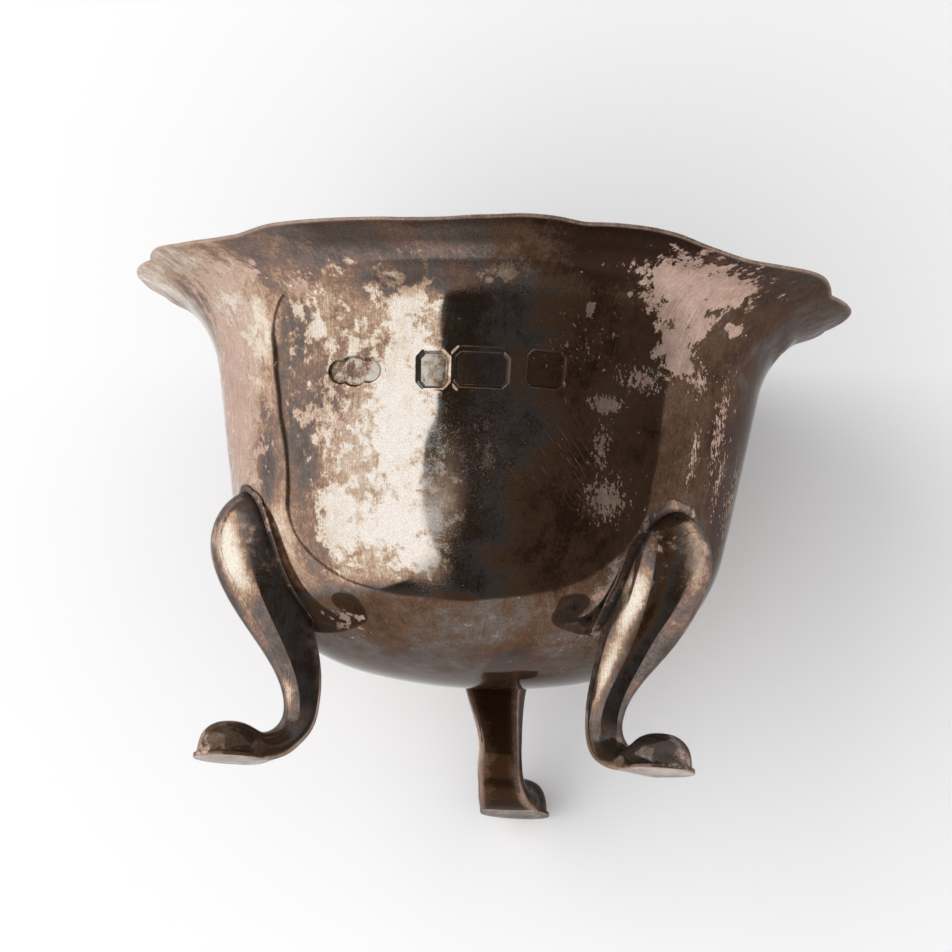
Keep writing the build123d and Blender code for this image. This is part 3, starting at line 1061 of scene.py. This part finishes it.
def one_sided(name, code):
    """Matt card that is seen from its front only."""
    material = bpy.data.materials.new(name)
    material.use_nodes = True
    tree = material.node_tree
    tree.nodes.clear()
    behind = add(tree, "NewGeometry").outputs["Backfacing"]
    card = add(tree, "BsdfDiffuse", Color=linear(code))
    mixed = add(tree, "MixShader", in_0=behind, in_1=card, in_2=add(tree, "BsdfTransparent"))
    add(tree, "OutputMaterial", Surface=mixed)
    return material


def make_stage():
    """A white backdrop that the rim and the rear toe touch, its dark edge, and a floor seen from above."""
    white = one_sided("matt_white_card", "#F1F1F2")
    toe = foot_reach + pad_radius
    lean = math.atan2(rim_radius - toe, rim_height)
    upright = Matrix.Rotation(math.pi / 2 - lean, 4, "X")
    backdrop = make_card("backdrop", backdrop_radius, white)
    dark = make_card("backdrop_edge", floor_radius, one_sided("dark_table_edge", "#3E342D"))
    for card, gap in ((backdrop, backdrop_gap), (dark, edge_gap)):
        card.matrix_world = Matrix.Translation(Vector((0, toe + gap, 0)) * MM) @ upright
    dark.visible_camera = False
    floor = make_card("floor", floor_radius, white)
    for kind in ("diffuse", "glossy", "transmission", "shadow"):
        setattr(floor, f"visible_{kind}", False)


def make_light():
    """One large soft light at the left, in a room whose fill comes from below and whose top is mirrored."""
    data = bpy.data.lights.new("soft_light", "AREA")
    data.shape = "RECTANGLE"
    data.size = light_width * MM
    data.size_y = light_height * MM
    data.energy = light_watts
    light = linked("soft_light", data)
    outward = Vector((*polar(light_reach, camera_side + light_side), 0)) * MM
    place = outward + Vector((0, 0, light_level)) * MM
    light.matrix_world = Matrix.Translation(place) @ outward.to_track_quat("Z", "Y").to_matrix().to_4x4()
    light.visible_camera = False
    world = bpy.data.worlds.new("room")
    bpy.context.scene.world = world
    world.use_nodes = True
    tree = world.node_tree
    tree.nodes.clear()
    ray = add(tree, "TexCoord").outputs["Generated"]
    level = add(tree, "SeparateXYZ", Vector=ray).outputs["Z"]
    fill, mirrored = (
        add(tree, "MapRange", Value=level, From_Min=lowest, From_Max=highest, To_Min=low, To_Max=high)
        for (lowest, highest), (low, high) in (((-1, 1), room_fill), (mirrored_rise, room_mirrored))
    )
    seen = add(tree, "LightPath").outputs["Is Glossy Ray"]
    shine = add(tree, "Background", Strength=add(tree, "Mix", in_0=seen, in_2=fill, in_3=mirrored))
    add(tree, "OutputWorld", Surface=shine)
    bpy.context.scene.view_settings.view_transform = "Standard"


def join_frame(piece, node):
    """Lets a piece stand for its solid: attaches it to the root body and hides the solid."""
    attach(piece, "root")
    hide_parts(node)


# Raised, hammered and often polished sheet: wide clouds, and patches with sharply torn edges
sheet = tarnished_silver(
    "raised_silver_under_brown_tarnish", clean_tint="#F1E8DF", thick_tint="#33231A", glance_tint="#5E5048",
    cloud=8.0, mottle=0.7, softness=0.03,
)
# Castings, filed and polished by hand: smaller clouds, and patches that fade out
cast = tarnished_silver(
    "cast_silver_under_brown_tarnish", clean_tint="#FAEEDC", thick_tint="#362316", glance_tint="#3A2C24",
    cloud=4.5, mottle=0.7, softness=0.2,
)
# Solder left as it flowed: never polished, so darker and more blotchy
solder = tarnished_silver(
    "dark_silver_solder", clean_tint="#B79C88", thick_tint="#33231A", glance_tint="#5A4A40",
    cloud=4.5, mottle=0.8, softness=0.1,
)
rings, edges, backs = leg_rings()
seams = []
for side in leg_angles:
    seam = even_loop(seam_loop(rings, side))
    seams.extend(on_wall(side, seam, 0))
    join_frame(make_leg(side, rings, edges, backs, cast), f"leg_{side}")
    join_frame(make_solder(side, seam, solder), f"solder_{side}")
join_frame(make_bowl(seams, sheet), "bowl")
make_camera()
make_stage()
make_light()
